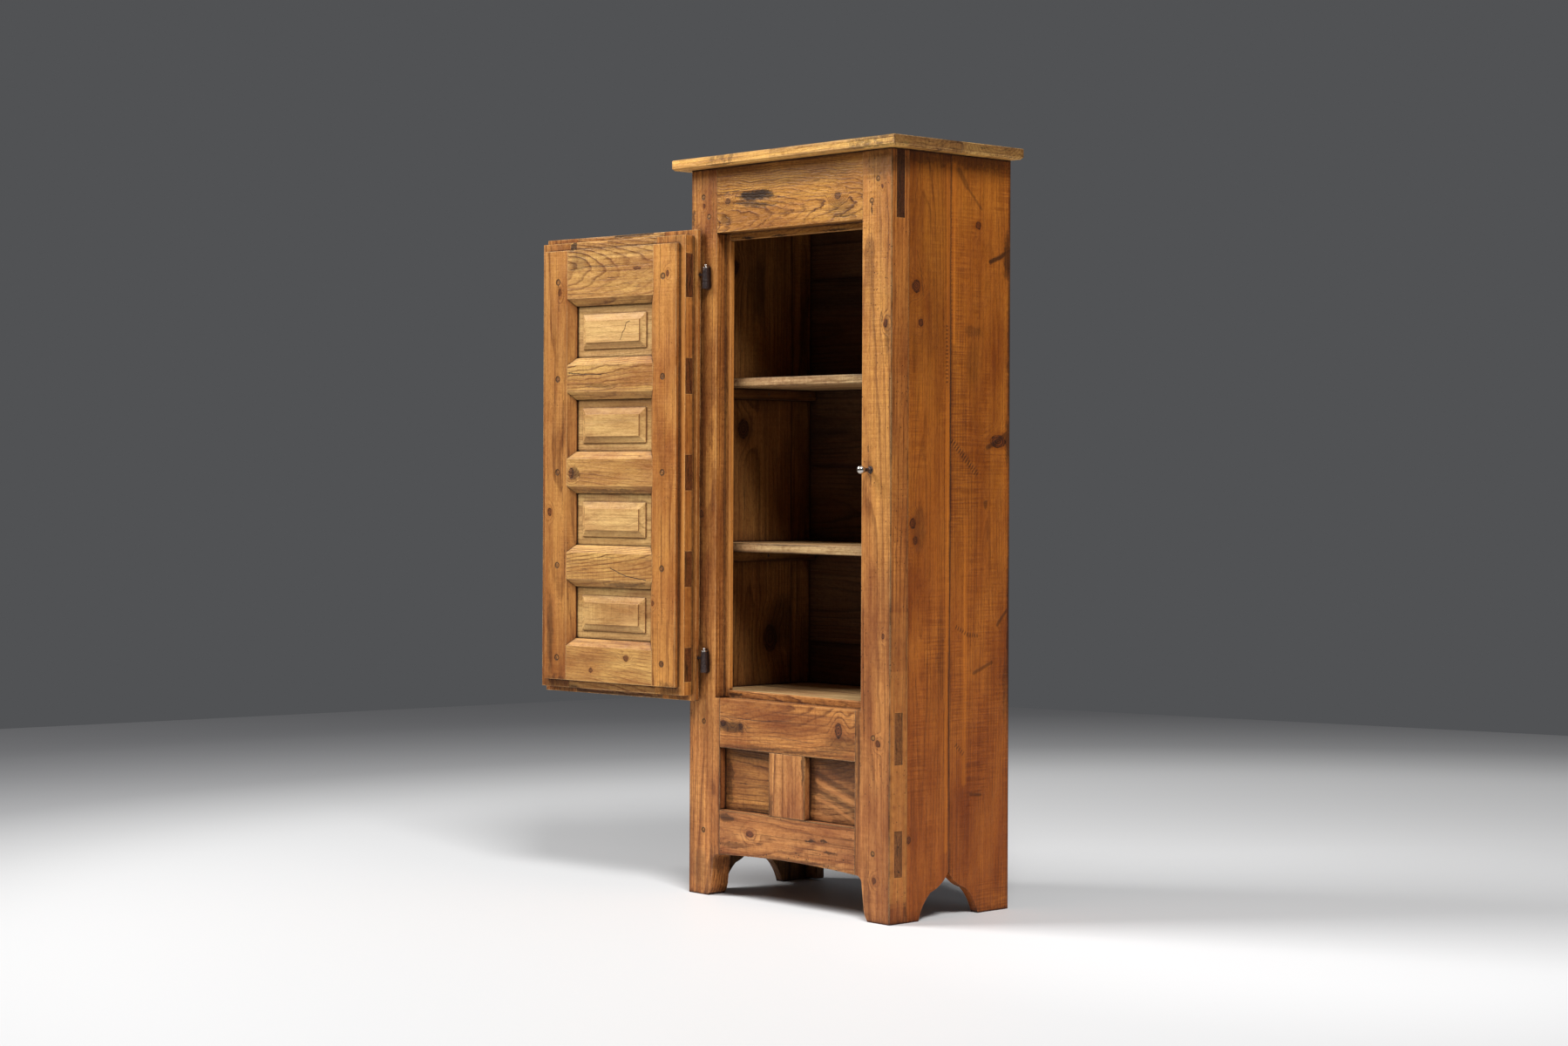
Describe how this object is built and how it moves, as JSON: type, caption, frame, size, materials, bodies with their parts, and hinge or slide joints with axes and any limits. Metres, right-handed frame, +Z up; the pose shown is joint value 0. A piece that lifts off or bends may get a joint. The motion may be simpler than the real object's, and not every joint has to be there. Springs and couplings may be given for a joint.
{
  "type": "trastero cabinet",
  "caption": "Tall narrow pine cabinet with a framed door of raised panels, shelves inside, plank sides cut to an ogee arch at the floor, and a turn latch on the right post.",
  "frame": {"origin": "on the floor, the middle of the sole of the front left foot, on the hinge side", "axes": "+Z up, the front looks along -Y, +X towards the latch side, the hinges are on the -X side"},
  "size_m": [1.1889, 0.492, 1.75],
  "materials": {
    "pine_front": "aged honey pine, waxed",
    "pine_panel": "aged pine, dull and stained",
    "pine_top": "aged pine with waxed worn edges",
    "pine_side": "reddish brown aged pine, waxed",
    "pine_back": "dark brown pine, unfinished",
    "raw_pine": "raw greyish pine",
    "pine_door": "aged honey pine, waxed",
    "peg_wood": "dark end grain of the pegs",
    "wrought_iron": "dark brown forged iron",
    "bright_steel": "hand-polished bright steel"
  },
  "bodies": {
    "carcass": {"back_nails": "wrought_iron", "back_plank_1": "pine_back", "back_plank_2": "pine_back", "back_plank_3": "pine_back", "back_plank_4": "pine_back", "back_plank_5": "pine_back", "back_plank_6": "pine_back", "back_plank_7": "pine_back", "bottom_rail": "pine_front", "cleat_nails": "wrought_iron", "floor_board_front": "raw_pine", "floor_board_rear": "raw_pine", "floor_cleat_left": "raw_pine", "floor_cleat_right": "raw_pine", "foot_block_left": "pine_side", "foot_block_right": "pine_side", "frame_pegs": "peg_wood", "front_post_left": "pine_front", "front_post_right": "pine_front", "hinge_lower_post_half": "wrought_iron", "hinge_upper_post_half": "wrought_iron", "latch_rosette": "wrought_iron", "lower_muntin": "pine_front", "lower_panel_left": "pine_panel", "lower_panel_right": "pine_panel", "middle_rail": "pine_front", "shelf_cleat_lower_left": "raw_pine", "shelf_cleat_lower_right": "raw_pine", "shelf_cleat_upper_left": "raw_pine", "shelf_cleat_upper_right": "raw_pine", "shelf_lower": "raw_pine", "shelf_upper": "raw_pine", "side_plank_front_left": "pine_side", "side_plank_front_right": "pine_side", "side_plank_rear_left": "pine_side", "side_plank_rear_right": "pine_side", "top_nails": "wrought_iron", "top_plank_front": "pine_top", "top_plank_rear": "pine_top", "top_rail": "pine_front"},
    "door": {"door_panel_1": "pine_door", "door_panel_2": "pine_door", "door_panel_3": "pine_door", "door_panel_4": "pine_door", "door_pegs": "peg_wood", "door_rail_bottom": "pine_door", "door_rail_middle_1": "pine_door", "door_rail_middle_2": "pine_door", "door_rail_middle_3": "pine_door", "door_rail_top": "pine_door", "door_stile_free": "pine_door", "door_stile_hinge": "pine_door", "hinge_lower_door_half": "wrought_iron", "hinge_upper_door_half": "wrought_iron"},
    "latch": {"latch_knob": "bright_steel", "latch_tongue": "wrought_iron"}
  },
  "joints": [
    {"name": "door_hinge", "type": "hinge", "parent": "carcass", "child": "door", "pos_m": [0.029, -0.036, 1], "axis": [0, 0, 1], "range_deg": [-5.5, 174.5]},
    {"name": "latch_turn", "type": "hinge", "parent": "carcass", "child": "latch", "pos_m": [0.582, -0.027, 1.01], "axis": [0, -1, 0], "range_deg": [0, 90]}
  ]
}
